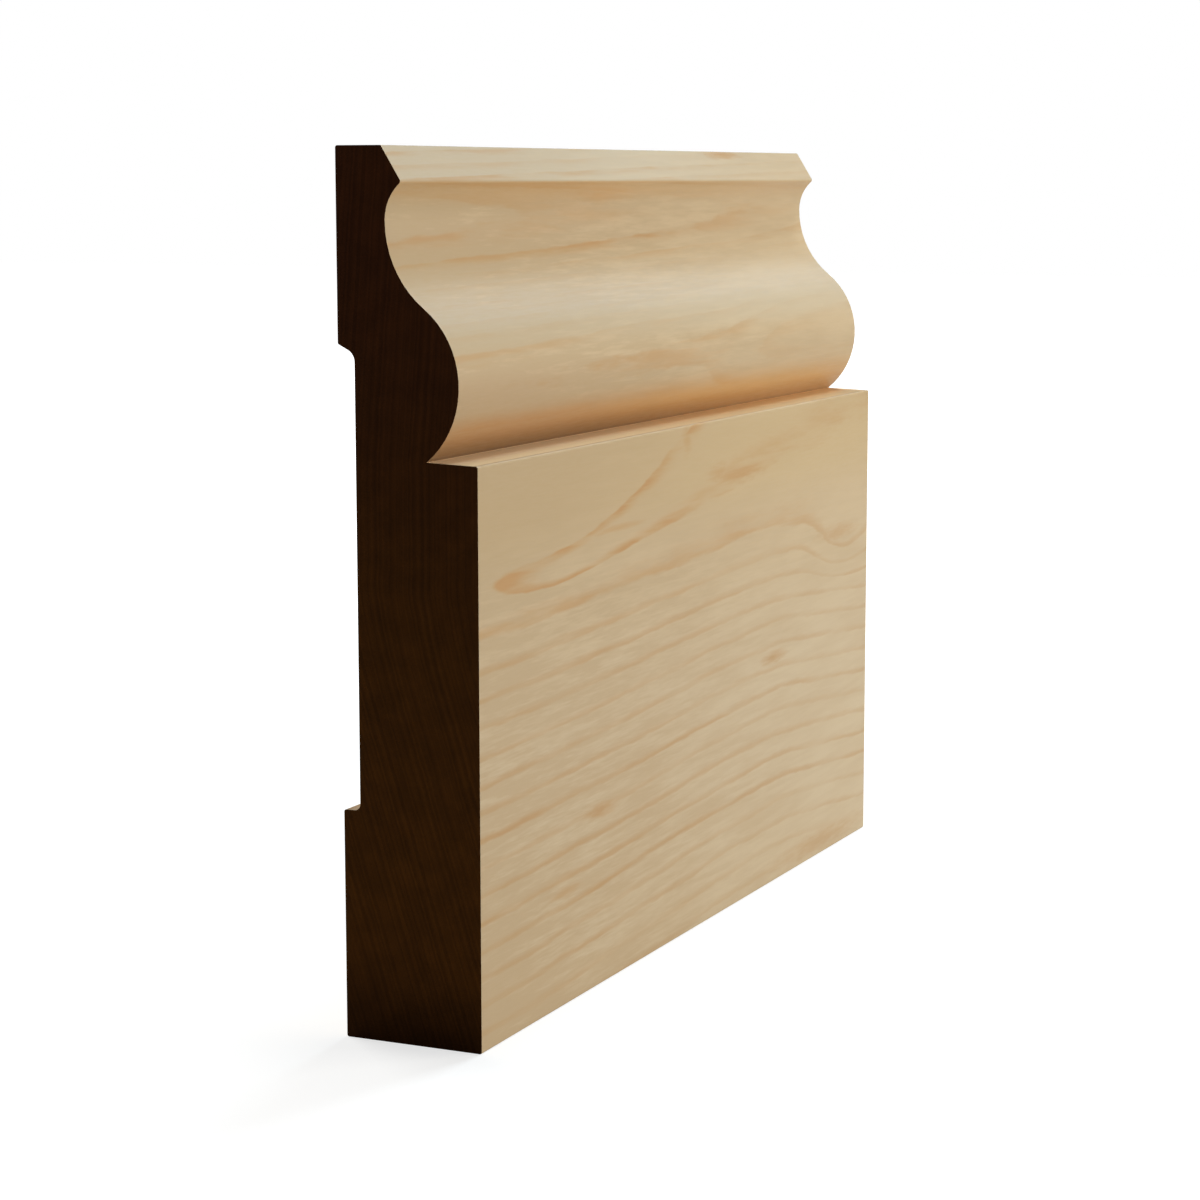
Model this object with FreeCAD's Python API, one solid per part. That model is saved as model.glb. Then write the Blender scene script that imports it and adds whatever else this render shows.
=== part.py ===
import FreeCAD, Part
import math
import os

# Ogee skirting board: a short length of solid maple moulding, in millimetres.
# X runs along the length. The moulded face looks towards -Y and the wall side towards +Y.
# Z is up, and the origin is the middle of the bottom edge, where the board stands on the floor.

# The planed stock
LENGTH = 152.4
HEIGHT = 120.65
THICKNESS = 20.64

# Bevel along the top, from the top edge down to the nose
NOSE_DROP = 4.76
BEVEL_DEG = 32.0
NOSE_TIP_R = 0.4

# Hollow under the nose: a tight neck above, running into a wider cove
COVE_DEPTH = 13.36
COVE_R = 14.29
NECK_R = 6.35
NOSE_OVERHANG = 2.47

# Bead below the cove, with its belly set back from the flat face, turned under to the crease
BEAD_SETBACK = 2.67
BEAD_R = 12.7
BEAD_TURN_DEG = 51.8

# Ledge from the crease to the flat face, which sheds towards the room
LEDGE_FALL_DEG = 2.0

# Relief groove along the back, between two flat lands that bear on the wall
LOWER_LAND = 31.75
UPPER_LAND = 26.0
GROOVE_DEPTH = 2.5
GROOVE_SLANT_DEG = 27.0
GROOVE_LOWER_R = 0.9
GROOVE_UPPER_R = 1.8

# Sanding takes this much off each outer edge that runs along the board
ARRIS_R = 0.3

SAME_POINT = 1e-6


def at(depth, height):
    """A point of the left end's section, by its depth behind the flat face and its height."""
    return FreeCAD.Vector(-LENGTH / 2, depth - THICKNESS / 2, height)


def on_circle(centre, radius, degrees):
    """A point of a circle in the section: 0 degrees is towards the wall and 90 degrees is up."""
    turn = math.radians(degrees)
    return centre + FreeCAD.Vector(0, radius * math.cos(turn), radius * math.sin(turn))


def arc(centre, radius, start, end):
    """The arc of that circle from one angle to another, in degrees."""
    points = [on_circle(centre, radius, degrees) for degrees in (start, (start + end) / 2, end)]
    return Part.Arc(*points).toShape()


def ogee_arcs():
    """The moulded curve from the nose down to the crease: neck, cove and bead, each tangent to the next."""
    nose_angle = math.degrees(math.acos(1 - NOSE_OVERHANG / NECK_R))
    neck_height = HEIGHT - NOSE_DROP - NECK_R * math.sin(math.radians(nose_angle))
    neck = arc(at(COVE_DEPTH - NECK_R, neck_height), NECK_R, nose_angle, 0)

    cove_centre = at(COVE_DEPTH - COVE_R, neck_height)
    reach = COVE_R + BEAD_R
    swing = math.degrees(math.acos(1 - (COVE_DEPTH - BEAD_SETBACK) / reach))
    cove = arc(cove_centre, COVE_R, 0, -swing)

    bead_centre = on_circle(cove_centre, reach, -swing)
    bead = arc(bead_centre, BEAD_R, 180 - swing, 180 + BEAD_TURN_DEG)
    return [neck, cove, bead]


def flat_corners(nose, crease):
    """The straight sides' corners, from the crease round the face, bottom edge, back and top to the nose."""
    ledge_front = crease.z - (crease.y + THICKNESS / 2) * math.tan(math.radians(LEDGE_FALL_DEG))
    groove_face = THICKNESS - GROOVE_DEPTH
    groove_rise = GROOVE_DEPTH * math.tan(math.radians(GROOVE_SLANT_DEG))
    bevel_depth = NOSE_DROP * math.tan(math.radians(BEVEL_DEG))
    corners = {
        "crease": crease,
        "ledge front": at(0, ledge_front),
        "bottom front": at(0, 0),
        "bottom back": at(THICKNESS, 0),
        "lower land": at(THICKNESS, LOWER_LAND),
        "groove bottom": at(groove_face, LOWER_LAND),
        "groove top": at(groove_face, HEIGHT - UPPER_LAND - groove_rise),
        "upper land": at(THICKNESS, HEIGHT - UPPER_LAND),
        "top back": at(THICKNESS, HEIGHT),
        "top front": nose + FreeCAD.Vector(0, bevel_depth, NOSE_DROP),
        "nose": nose,
    }
    return corners


def rounded(solid, corners, radius):
    """The solid with its long edges through these corners of the section rounded."""

    def runs_through(edge, corner):
        return all(math.hypot(end.Y - corner.y, end.Z - corner.z) < SAME_POINT for end in edge.Vertexes)

    edges = [edge for edge in solid.Edges for corner in corners if runs_through(edge, corner)]
    return solid.makeFillet(radius, edges)


def skirting_board():
    """The moulded length, run through the cutters as one piece and cut square at both ends."""
    arcs = ogee_arcs()
    nose = arcs[0].firstVertex(True).Point
    crease = arcs[-1].lastVertex(True).Point
    corners = flat_corners(nose, crease)
    flats = Part.makePolygon(list(corners.values()))
    section = Part.Face(Part.Wire(flats.Edges + arcs))
    board = section.extrude(FreeCAD.Vector(LENGTH, 0, 0))

    arrises = ("ledge front", "bottom front", "bottom back", "lower land", "upper land", "top back", "top front")
    board = rounded(board, [corners[name] for name in arrises], ARRIS_R)
    board = rounded(board, [corners["nose"]], NOSE_TIP_R)
    board = rounded(board, [corners["groove bottom"]], GROOVE_LOWER_R)
    return rounded(board, [corners["groove top"]], GROOVE_UPPER_R)


os.makedirs("parts", exist_ok=True)
skirting_board().exportStep("parts/skirting_board.step")
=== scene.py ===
import math

import bpy
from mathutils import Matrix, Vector


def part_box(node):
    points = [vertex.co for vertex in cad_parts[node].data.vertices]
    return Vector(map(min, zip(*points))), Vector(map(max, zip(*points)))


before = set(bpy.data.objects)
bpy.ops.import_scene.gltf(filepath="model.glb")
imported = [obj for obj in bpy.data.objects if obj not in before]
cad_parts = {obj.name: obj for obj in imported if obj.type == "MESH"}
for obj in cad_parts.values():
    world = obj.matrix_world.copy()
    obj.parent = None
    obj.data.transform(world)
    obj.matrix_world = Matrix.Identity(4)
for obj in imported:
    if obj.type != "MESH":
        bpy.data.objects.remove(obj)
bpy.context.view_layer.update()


# The skirting board is one length of hard maple, planed, run through the ogee cutters as one piece and
# cut square at both ends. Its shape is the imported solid's, so only its finish is made here: bare, lightly
# sanded wood, whose growth rings run right through it from the face to the sawn ends.
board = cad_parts["skirting_board"]


def linear(hex_colour):
    """An sRGB hex colour as linear RGBA."""
    channels = [int(hex_colour[start : start + 2], 16) / 255 for start in (1, 3, 5)]
    return [c / 12.92 if c <= 0.04045 else ((c + 0.055) / 1.055) ** 2.4 for c in channels] + [1.0]


def material_tree(name):
    """The empty node tree of a new material."""
    material = bpy.data.materials.new(name)
    material.use_nodes = True
    material.node_tree.nodes.clear()
    return material.node_tree


def add(tree, kind, inputs=(), **settings):
    """A shader node. Its inputs are values, sockets, or nodes for their first output in use. They go in by
    name, or by place among the inputs in use."""
    node = tree.nodes.new("ShaderNode" + kind)
    for name, value in settings.items():
        setattr(node, name, value)
    in_use = [socket for socket in node.inputs if socket.enabled]
    for key, value in inputs.items() if isinstance(inputs, dict) else enumerate(inputs):
        socket = node.inputs[key] if isinstance(key, str) else in_use[key]
        if isinstance(value, bpy.types.Node):
            value = next(output for output in value.outputs if output.enabled)
        if isinstance(value, bpy.types.NodeSocket):
            tree.links.new(value, socket)
        else:
            socket.default_value = value
    return node


# Places in the wood, in millimetres: along from the left end, down from the ledge, and in behind the face
MM_PER_M = 1000
LEDGE_MM = 79.1
wood = material_tree("planed_maple")
low_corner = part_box("skirting_board")[0]
surface = add(wood, "TexCoord")
place = add(wood, "VectorMath", (surface.outputs["Object"], (MM_PER_M,) * 3), operation="MULTIPLY")
sides = add(wood, "SeparateXYZ", (place,))
along = add(wood, "Math", (sides.outputs["X"], low_corner[0] * MM_PER_M), operation="SUBTRACT")
down = add(wood, "Math", (LEDGE_MM, sides.outputs["Z"]), operation="SUBTRACT")
behind = add(wood, "Math", (sides.outputs["Y"], low_corner[1] * MM_PER_M), operation="SUBTRACT")

# A slope is a place or a noise, the two values of it that the slope runs between, and what it gives at each,
# which is 0 and 1 where nothing else is set. Its ends are soft. What is named here is used more than once.
SOFT = {"interpolation_type": "SMOOTHSTEP"}
whole_length = (along, 0, 150)
moulded_side = (behind, 14, 16, 1, 0)
NOISE_SPREAD = (0.3, 0.7)


def faded(*slopes):
    """Slopes multiplied together, so that each one fades the others."""
    product = add(wood, "MapRange", slopes[0], **SOFT)
    for slope in slopes[1:]:
        product = add(wood, "Math", (product, add(wood, "MapRange", slope, **SOFT)), operation="MULTIPLY")
    return product


def away_from(middle, measure):
    """How far a measure is from its middle value, either way."""
    difference = add(wood, "Math", (measure, middle), operation="SUBTRACT")
    return add(wood, "Math", (difference,), operation="ABSOLUTE")


# Noise drawn out along the grain: the length and width of its blotches in millimetres, and its detail.
# Real maple fibres are about 0.1 mm wide, so they are drawn three times as coarse, to show at all.
GRAIN_NOISES = {
    "long waver": (34, 8, 2),
    "short waver": (12, 3, 2),
    "ripple": (4, 0.8, 2),
    "fading": (20, 1.8, 2),
    "ragged edge": (4, 0.7, 2),
    "fibre": (3.2, 0.32, 3),
    "streak": (11, 0.9, 2),
    "cloud": (30, 7, 3),
    "end blotch": (5, 3.5, 3),
}
noise = {}
for name, (length, width, detail) in GRAIN_NOISES.items():
    drawn_out = add(wood, "VectorMath", (place, (length, width, width)), operation="DIVIDE")
    noise[name] = add(wood, "TexNoise", {"Vector": drawn_out, "Scale": 1, "Detail": detail})

# The wood's growth at a place is how far it is from the first ring, in millimetres. That ring lies just in
# front of the face. Low on the face the rings lean about 18 degrees to it, so their edges cross it about
# 4 mm apart, and they rise and fall along it.
RING_MM = 1.2
RING_LEAN = 0.318
LEAN_FROM_MM = 21
BEND_MM = 10.6
FIRST_RING_MM = 0.21
rise = add(wood, "MapRange", (along, 0, 112, 0, 3.3), **SOFT)
fall = add(wood, "MapRange", (along, 105, 162, 0, -3.4), **SOFT)
below = add(wood, "Math", (down, add(wood, "Math", (rise, fall), operation="ADD")), operation="ADD")
below = add(wood, "Math", (below, LEAN_FROM_MM), operation="SUBTRACT")
below = add(wood, "Math", (below, 0, BEND_MM), operation="SMOOTH_MAX")
growth = add(wood, "Math", (behind, FIRST_RING_MM), operation="ADD")
growth = add(wood, "Math", (below, RING_LEAN, growth), operation="MULTIPLY_ADD")

# Near the ledge the face runs along the rings, and one of them shows as a long arch that opens to the right.
# The ring below it steps down near the right end.
STEP_ALONG_MM = 140
STEP_DOWN_MM = 26
arch_middle = add(wood, "MapRange", (along, 15, 158, 16.8, -12.4), **SOFT)
arch_half = add(wood, "MapRange", (along, 26, 150, 3.8, 23.5), **SOFT)
across_arch = add(wood, "Math", (away_from(arch_middle, down), arch_half), operation="DIVIDE")
arch = faded((across_arch, 0, 1, 1.37, 0), (along, -10, 30))
step = faded((away_from(STEP_ALONG_MM, along), 0, 22, 1, 0), (away_from(STEP_DOWN_MM, down), 0, 9, 1.3, 0))
for hollow in (arch, step):
    growth = add(wood, "Math", (growth, hollow), operation="SUBTRACT")

# Over the ledge the rings lean a little the other way and run slightly across the length
LEAN_BACK = -0.08
DRIFT = -0.0147
over = add(wood, "Math", (down, 0), operation="MINIMUM")
growth = add(wood, "Math", (over, LEAN_BACK, growth), operation="MULTIPLY_ADD")
drifted = add(wood, "Math", (add(wood, "MapRange", (down, -5, -20), **SOFT), along), operation="MULTIPLY")
growth = add(wood, "Math", (drifted, DRIFT, growth), operation="MULTIPLY_ADD")

# The rings waver, slowly along the grain and faster across it. Noise is a half on average.
WAVERS = {"long waver": 0.4, "short waver": 0.3, "ripple": 0.16}
for name, reach in WAVERS.items():
    growth = add(wood, "Math", (noise[name], reach, growth), operation="MULTIPLY_ADD")
growth = add(wood, "Math", (growth, sum(WAVERS.values()) / 2), operation="SUBTRACT")

# Each year ends in a thin line of dark late wood. Some years are darker than others, which the first year's
# number picks, and each line fades in and out along the grain. Just under the ledge the lines are broader
# and more broken, and faint at the right. The mid ogee is cut along the rings and shows hardly any.
FIRST_YEAR = 2981
MID_OGEE_MM = -20.9
years = add(wood, "Math", (growth, RING_MM), operation="DIVIDE")
year = add(wood, "Math", (add(wood, "Math", (years,), operation="FLOOR"), FIRST_YEAR), operation="ADD")
season = add(wood, "Math", (years,), operation="FRACT")
strength = add(wood, "TexWhiteNoise", {"W": year}, noise_dimensions="1D")
darkens_from = add(wood, "MapRange", (down, 14, 22, 0.3, 0.6), **SOFT)
faintest = add(wood, "MapRange", (down, 14, 24, 0.15, 0.45), **SOFT)
far_corner = faded((along, 80, 120), (down, 20, 8))
line = faded(
    (season, darkens_from, 0.86),
    (season, 0.88, 1.0, 1, 0),
    (strength, 0, 1, 0.34, 0.76),
    (noise["fading"], 0.34, 0.62, faintest, 1.0),
    (*whole_length, 1.12, 0.7),
    (down, 14, 22, 1.35, 1.0),
    (far_corner, 0, 1, 1.0, 0.55),
    (down, -1, -6, 1.0, 0.7),
    (away_from(MID_OGEE_MM, down), 3, 8, 0.3, 1.0),
    (down, -22, -29, 1.0, 1.6),
    (down, -31, -34.5, 1.0, 0.5),
)

# Mineral flecks and streaks: along, down, behind, their half-lengths in those directions, and their darkness.
# Each fades from its middle to a little past its reach, with a ragged edge.
FLECKS = (
    ((38, 53.2, 0), (8, 1.5, 2), 0.9),
    ((26, 62.7, 0), (7, 1.1, 2), 0.65),
    ((107, 41.2, 0), (7, 1.4, 2), 0.85),
    ((45, 12.8, 0), (12, 0.7, 1.5), 0.55),
    ((11, 16.4, 0), (9, 1.1, 1.5), 0.55),
    ((70, 2.0, 0), (2.6, 3.0, 1.5), 0.55),
    ((83, 8.4, 0), (6, 2.0, 1.5), 0.55),
    ((137, 23.6, 0), (12, 1.8, 1.5), 0.55),
    ((129, 76.6, 0), (30, 2.4, 1.5), 0.55),
    ((34, -36.3, 11), (50, 0.7, 2), 0.55),
    ((66, -34.6, 13), (14, 1.6, 2), 0.55),
    ((116, -41.1, 13.5), (10, 1.0, 2.5), 0.9),
)
spot = add(wood, "CombineXYZ", (along, down, behind))
mark = line
for centre, reach, darkness in FLECKS:
    offset = add(wood, "VectorMath", (spot, centre), operation="SUBTRACT")
    offset = add(wood, "VectorMath", (offset, reach), operation="DIVIDE")
    away = add(wood, "VectorMath", (offset,), operation="LENGTH")
    away = add(wood, "Math", (away, noise["ragged edge"]), operation="ADD")
    fleck = add(wood, "MapRange", (away, 0.5, 1.6, darkness, 0), **SOFT)
    mark = add(wood, "Math", (mark, fleck), operation="MAXIMUM")

# Between the lines the wood is cream, mottled by its fibres, streaks and clouds, and least so just under the
# ledge. It is cooler low on the face, and painted lighter to the right as painted light from the lamps on
# that side. At the left it is darker over the ledge and along the bottom.
QUIET_MM = 10
tone = add(wood, "MapRange", (noise["fibre"], *NOISE_SPREAD, -0.18, 0.18), **SOFT)
streaks = add(wood, "MapRange", (noise["streak"], *NOISE_SPREAD, -0.25, 0.25), **SOFT)
tone = add(wood, "Math", (tone, streaks), operation="ADD")
quiet = (away_from(QUIET_MM, down), 4, 14, 0.6, 1.0)
for slope in ((*whole_length, 1.25, 0.5), quiet, (down, -4, 2, 1.4, 1.0)):
    tone = add(wood, "Math", (tone, add(wood, "MapRange", slope, **SOFT)), operation="MULTIPLY")
# The second slope here is painted light: the wood is lighter towards the lamps on the right.
for slope in ((noise["cloud"], *NOISE_SPREAD, 0.3, 0.7), (*whole_length, -0.3, 0.3)):
    tone = add(wood, "Math", (tone, add(wood, "MapRange", slope, **SOFT)), operation="ADD")
over_left = faded((down, 12, -8), (along, 0, 80, 0.55, 0))
low_left = faded((down, 45, 79), (along, 0, 60, 0.3, 0))
for darker in (over_left, low_left):
    tone = add(wood, "Math", (tone, darker), operation="SUBTRACT")
warm = add(wood, "Mix", (tone, linear("#C3A87F"), linear("#D1B78F")), data_type="RGBA")
cool = add(wood, "Mix", (tone, linear("#C6AB84"), linear("#D3BD9A")), data_type="RGBA")
cooler = add(wood, "MapRange", (down, 12, 46), **SOFT)
ground = add(wood, "Mix", (cooler, warm, cool), data_type="RGBA")

to_right = add(wood, "MapRange", (along, 20, 110), **SOFT)


def laid_over(under, where, left, right):
    """A colour with another laid over it somewhere, which goes from its left tint to its right one."""
    over = add(wood, "Mix", (to_right, linear(left), linear(right)), data_type="RGBA")
    return add(wood, "Mix", (where, under, over), data_type="RGBA")


# The bevel and the top of the bead are painted paler, a painted sheen where they face up to the lamps, and
# the wood just under the ledge is more like honey
bevel_sheen = faded((down, -36.7, -36.9), (behind, 18, 20, 1, 0), (along, 60, 150, 0.6, 0.15))
painted_bead_highlight = faded((down, -12.5, -16), (down, -20.5, -17.5, 0, 0.4))
painted_sheen = add(wood, "Math", (bevel_sheen, painted_bead_highlight), operation="MAXIMUM")
ground = laid_over(ground, painted_sheen, "#CBBA9C", "#D4C6AB")
under_ledge = faded((down, -1, 1), (down, 18, 8, 0, 0.6))
ground = laid_over(ground, under_ledge, "#C0A273", "#CDB07D")

# The lines and flecks are a darker brown, and a little greyer low on the face
greyer = add(wood, "MapRange", (down, 18, 30), **SOFT)
dark = add(wood, "Mix", (greyer, linear("#C29358"), linear("#C09560")), data_type="RGBA")
planed = add(wood, "Mix", (mark, ground, dark), data_type="RGBA")

# Towards the crease over the ledge the wood is painted browner: painted shade and warm bounced light in the
# tight angle under the bead, reaching higher at the left. Nearer the crease two darker browns set in, each
# between two heights, and the last paints a thin dark shadow line along it.
painted_left_shade = faded((down, -14, -9, 0, 0.25), (along, 0, 80, 1, 0))
painted_corner_shade = add(wood, "Math", (add(wood, "MapRange", (down, -8.5, -2.5), **SOFT), painted_left_shade), operation="MAXIMUM")
for slope in ((behind, 0.4, 2.5), moulded_side, (along, 40, 150, 0.95, 0.65)):
    painted_corner_shade = add(wood, "Math", (painted_corner_shade, add(wood, "MapRange", slope, **SOFT)), operation="MULTIPLY")
shade_brown = add(wood, "Mix", (to_right, linear("#B98755"), linear("#D29C56")), data_type="RGBA")
DARKER_SHADES = (((-4.5, -0.7), "#8D6B47", "#A07951"), ((-0.95, -0.4), "#77583C", "#8A6645"))
for heights, left, right in DARKER_SHADES:
    deeper_shade = add(wood, "MapRange", (down, *heights), **SOFT)
    deeper_shade = add(wood, "Math", (deeper_shade, painted_corner_shade), operation="MULTIPLY")
    shade_brown = laid_over(shade_brown, deeper_shade, left, right)
planed = add(wood, "Mix", (painted_corner_shade, planed, shade_brown), data_type="RGBA")

# The ledge is painted pale: painted light where the bead's overhang shades it, most of all towards the back
CREASE_MM = -0.262
CREASE_EDGE_MM = 0.06
ledge = faded((down, CREASE_MM - CREASE_EDGE_MM, CREASE_MM), (behind, 0.3, 1.0), (behind, 8, 9, 1, 0))
painted_ledge_light = add(wood, "Mix", (to_right, linear("#EDD09F"), linear("#DCBA86")), data_type="RGBA")
painted_back_light = add(wood, "MapRange", (behind, 2.2, 4.2), **SOFT)
painted_ledge_light = laid_over(painted_ledge_light, painted_back_light, "#FFE2B8", "#F6CC94")
planed = add(wood, "Mix", (ledge, planed, painted_ledge_light), data_type="RGBA")

# Just under the nose the wood is painted a little orange: painted shade under the overhanging nose
NOSE_MM = -36.79
NOSE_EDGE_MM = 0.1
painted_nose_shade = faded(
    (down, -33, -36),
    (down, NOSE_MM - NOSE_EDGE_MM, NOSE_MM + NOSE_EDGE_MM),
    moulded_side,
    (along, 0, 50, 0.25, 0.42),
    (along, 60, 100, 1, 0.6),
)
planed = add(wood, "Mix", (painted_nose_shade, planed, linear("#E0AC6C")), data_type="RGBA")

# Sawn across, the end grain is darker than the face, with the rings as faint bands, and it is painted
# near-black brown on top of that, which is painted shade. Painted shade also makes the ends redder and darker
# towards the nose, and darkest along the bottom, by the floor.
BANDS_PER_MM = 1.7
bands = add(wood, "TexNoise", {"W": growth, "Scale": BANDS_PER_MM, "Detail": 3}, noise_dimensions="1D")
end_tone_and_shade = faded(
    (bands, *NOISE_SPREAD, 0.86, 1.16),
    (noise["end blotch"], *NOISE_SPREAD, 0.88, 1.12),
    (down, -12, 36, 0.78, 1.05),
    (down, 36, 60, 1, 1.13),
    (down, 67, 79, 1, 0.5),
)
redder = add(wood, "MapRange", (down, 30, -30), **SOFT)
sawn = add(wood, "Mix", (redder, linear("#502D0A"), linear("#4D270F")), data_type="RGBA")
sawn = add(wood, "VectorMath", (sawn, end_tone_and_shade), operation="SCALE")
facing = add(wood, "SeparateXYZ", (surface.outputs["Normal"],))
facing = add(wood, "Math", (facing.outputs["X"],), operation="ABSOLUTE")
on_end = add(wood, "MapRange", (facing, 0.6, 0.8), **SOFT)
colour = add(wood, "Mix", (on_end, planed, sawn), data_type="RGBA")

# Planed maple has a soft sheen along its curves, and the sawn ends are dull. The fibres are felt as a fine
# roughness of a few hundredths of a millimetre.
FIBRE_DEPTH_MM = 0.04
roughness = add(wood, "MapRange", (on_end, 0, 1, 0.46, 0.85), **SOFT)
uneven = add(wood, "MapRange", (noise["fibre"], *NOISE_SPREAD, -0.05, 0.05), **SOFT)
roughness = add(wood, "Math", (roughness, uneven), operation="ADD")
gloss = add(wood, "MapRange", (on_end, 0, 1, 0.5, 0.1), **SOFT)
fibres = {"Strength": 0.4, "Distance": FIBRE_DEPTH_MM / MM_PER_M, "Height": noise["fibre"]}
bump = add(wood, "Bump", fibres)
maple = {"Base Color": colour, "Roughness": roughness, "Specular IOR Level": gloss, "Normal": bump}
add(wood, "OutputMaterial", {"Surface": add(wood, "BsdfPrincipled", maple)})
board.material_slots[0].material = bpy.data.materials["planed_maple"]


# The floor is one plain pale sheet, level with the bottom edge. The camera sees it white, and it glows less
# near the board, where it keeps the board's soft shadow.
FLOOR_HALF = 3.0
NEAR, FAR = 0.08, 0.3
corners = [(x * FLOOR_HALF, y * FLOOR_HALF, 0) for x, y in ((-1, -1), (1, -1), (1, 1), (-1, 1))]
floor_mesh = bpy.data.meshes.new("floor")
floor_mesh.from_pydata(corners, [], [(0, 1, 2, 3)])
floor = bpy.data.objects.new("floor", floor_mesh)
bpy.context.scene.collection.objects.link(floor)
paper = material_tree("white_paper")
diffuse = add(paper, "BsdfDiffuse", {"Color": linear("#B4B4B2")})
seen = add(paper, "LightPath").outputs["Is Camera Ray"]
from_board = add(paper, "VectorMath", (add(paper, "TexCoord").outputs["Object"],), operation="LENGTH")
whiter = add(paper, "MapRange", (from_board, NEAR, FAR, 0.7, 1.0))
glow = add(paper, "Emission", {"Strength": add(paper, "Math", (seen, whiter), operation="MULTIPLY")})
add(paper, "OutputMaterial", {"Surface": add(paper, "AddShader", (diffuse, glow))})
floor_mesh.materials.append(bpy.data.materials["white_paper"])


# Soft studio light: a cool lamp over the board and a second one to the right of it skim along the curves, a
# broad one in front on the right lights the face, one behind lights the back, and the world is dim. Each
# lamp has its place, width, power and tint.
BOARD_MIDDLE = Vector((0, 0, 0.06))
SOFTBOXES = {
    "over_right": ((0.6, -0.08, 1.1), 0.35, 8.2, "#E7F4FF"),
    "right": ((1.7, -0.1, 1.0), 0.55, 2.6, "#BFE7FF"),
    "front_right": ((0.7, -1.35, 0.22), 0.9, 23.5, "#FFFCF4"),
    "back_right": ((0.6, 1.3, 0.5), 0.9, 20.0, "#FFFFFF"),
}
for name, (stand, width, power, tint) in SOFTBOXES.items():
    lamp = bpy.data.lights.new(name, "AREA")
    lamp.size = width
    lamp.energy = power
    lamp.color = linear(tint)[:3]
    softbox = bpy.data.objects.new(name, lamp)
    softbox.location = stand
    softbox.rotation_euler = (BOARD_MIDDLE - Vector(stand)).to_track_quat("-Z", "Y").to_euler()
    bpy.context.scene.collection.objects.link(softbox)
world = bpy.data.worlds.new("studio")
bpy.context.scene.world = world
world.use_nodes = True
world.node_tree.nodes.clear()
seen = add(world.node_tree, "LightPath").outputs["Is Camera Ray"]
level = add(world.node_tree, "MapRange", {"Value": seen, "To Min": 0.15, "To Max": 1.0})
sky = add(world.node_tree, "Background", {"Color": (1, 1, 1, 1), "Strength": level})
add(world.node_tree, "OutputWorld", {"Surface": sky})


# The camera stands near the left end, looking along the board, as in the photograph. Its place, turn and
# focal length were fitted to the outlines of both ends and to the long edges there.
CAMERA_PLACE = (-0.414405, -0.182892, 0.116247)
CAMERA_TURN_DEG = (81.80, 0.07, -65.38)
FOCAL_PX = 2923.38
PHOTO_PX = 1200
camera_data = bpy.data.cameras.new("camera")
camera_data.lens = FOCAL_PX / PHOTO_PX * camera_data.sensor_width
camera_data.clip_start = 0.01
camera = bpy.data.objects.new("camera", camera_data)
camera.location = CAMERA_PLACE
camera.rotation_euler = [math.radians(turn) for turn in CAMERA_TURN_DEG]
bpy.context.scene.collection.objects.link(camera)
bpy.context.scene.camera = camera
bpy.context.scene.view_settings.view_transform = "Standard"
